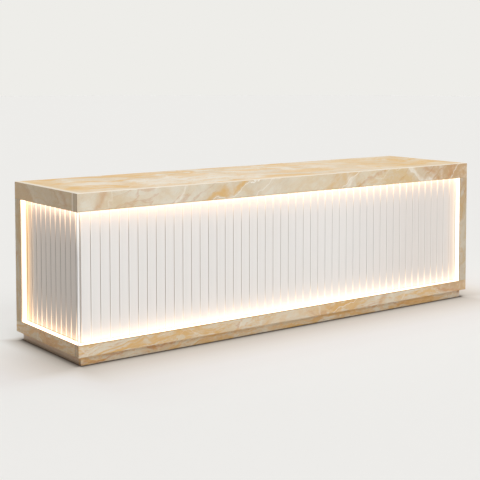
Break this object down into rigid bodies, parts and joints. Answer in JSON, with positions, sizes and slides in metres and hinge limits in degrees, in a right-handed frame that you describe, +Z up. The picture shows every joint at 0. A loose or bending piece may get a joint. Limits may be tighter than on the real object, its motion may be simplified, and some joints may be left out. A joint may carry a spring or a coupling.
{
  "type": "reception desk",
  "caption": "Long reception desk: stone counter and base, edge-lit ribbed wall on the front and one end, drawers and cupboard behind.",
  "frame": {"origin": "centre of the footprint, on the floor", "axes": "+X from the lit end to the plain end, -Y out of the ribbed front, +Y towards the staff side, +Z up"},
  "size_m": [3.56, 0.9, 1.1],
  "materials": {
    "stone": "polished, cream with gold veins",
    "ribbed_paint": "white satin lacquer on fluted fibreboard",
    "corner_bar_paint": "white powder coat",
    "light_channel": "anodised",
    "light_diffuser": "opal, lit from behind",
    "light_strip": "light strip",
    "driver_case": "powder coat",
    "foot_plastic": "black moulded",
    "bearer_timber": "planed softwood and plywood",
    "cabinet_laminate": "matt laminate",
    "front_laminate": "satin lacquer",
    "drawer_timber": "birch plywood",
    "steel": "zinc plated",
    "brass": "satin"
  },
  "bodies": {
    "desk": {"stone_top_panel": "stone", "top_fascia_front": "stone", "top_fascia_right": "stone", "top_fascia_rear": "stone", "top_fascia_left": "stone", "right_post": "stone", "left_post": "stone", "right_end_panel": "stone", "base_board_front": "stone", "base_board_right": "stone", "base_board_rear": "stone", "base_board_left": "stone", "plinth_front": "stone", "plinth_rear": "stone", "plinth_ends": "stone", "ribbed_panel_front_left": "ribbed_paint", "ribbed_panel_front_right": "ribbed_paint", "ribbed_panel_left_end": "ribbed_paint", "corner_bar": "corner_bar_paint", "led_channel_top": "light_channel", "led_channel_base": "light_channel", "led_channel_posts": "light_channel", "led_diffuser_top": "light_diffuser", "led_diffuser_base": "light_diffuser", "led_diffuser_posts": "light_diffuser", "led_strips": "light_strip", "led_driver": "driver_case", "levelling_feet": "foot_plastic", "base_bearers": "bearer_timber", "top_bearers": "bearer_timber", "top_substrate": "bearer_timber", "cabinet_floor": "cabinet_laminate", "front_backer": "cabinet_laminate", "side_boards": "cabinet_laminate", "dividers": "cabinet_laminate", "cabinet_top": "cabinet_laminate", "shelves": "cabinet_laminate", "shelf_supports": "steel", "door_pivots": "steel", "slide_fixed_members": "steel"},
    "left_door": {"left_door": "front_laminate", "left_door_knob": "brass"},
    "right_door": {"right_door": "front_laminate", "right_door_knob": "brass"},
    "drawer_1": {"drawer_1_front": "front_laminate", "drawer_1_box": "drawer_timber", "drawer_1_knob": "brass", "drawer_1_inner_members": "steel"},
    "drawer_1_runner": {"drawer_1_middle_members": "steel"},
    "drawer_2": {"drawer_2_front": "front_laminate", "drawer_2_box": "drawer_timber", "drawer_2_knob": "brass", "drawer_2_inner_members": "steel"},
    "drawer_2_runner": {"drawer_2_middle_members": "steel"},
    "drawer_3": {"drawer_3_front": "front_laminate", "drawer_3_box": "drawer_timber", "drawer_3_knob": "brass", "drawer_3_inner_members": "steel"},
    "drawer_3_runner": {"drawer_3_middle_members": "steel"}
  },
  "joints": [
    {"name": "left_door_hinge", "type": "hinge", "parent": "desk", "child": "left_door", "pos_m": [-1.718, 0.411, 0.14], "axis": [0, 0, 1], "range_deg": [0, 90]},
    {"name": "right_door_hinge", "type": "hinge", "parent": "desk", "child": "right_door", "pos_m": [-0.792, 0.411, 0.14], "axis": [0, 0, -1], "range_deg": [0, 90]},
    {"name": "drawer_1_slide", "type": "slide", "parent": "desk", "child": "drawer_1", "axis": [0, 1, 0], "range_m": [0, 0.5]},
    {"name": "drawer_1_runner_slide", "type": "slide", "parent": "desk", "child": "drawer_1_runner", "axis": [0, 1, 0], "range_m": [0, 0.25]},
    {"name": "drawer_2_slide", "type": "slide", "parent": "desk", "child": "drawer_2", "axis": [0, 1, 0], "range_m": [0, 0.5]},
    {"name": "drawer_2_runner_slide", "type": "slide", "parent": "desk", "child": "drawer_2_runner", "axis": [0, 1, 0], "range_m": [0, 0.25]},
    {"name": "drawer_3_slide", "type": "slide", "parent": "desk", "child": "drawer_3", "axis": [0, 1, 0], "range_m": [0, 0.5]},
    {"name": "drawer_3_runner_slide", "type": "slide", "parent": "desk", "child": "drawer_3_runner", "axis": [0, 1, 0], "range_m": [0, 0.25]}
  ],
  "couplings": [
    {"joint": "drawer_1_runner_slide", "follows": "drawer_1_slide", "ratio": 0.5},
    {"joint": "drawer_2_runner_slide", "follows": "drawer_2_slide", "ratio": 0.5},
    {"joint": "drawer_3_runner_slide", "follows": "drawer_3_slide", "ratio": 0.5}
  ]
}
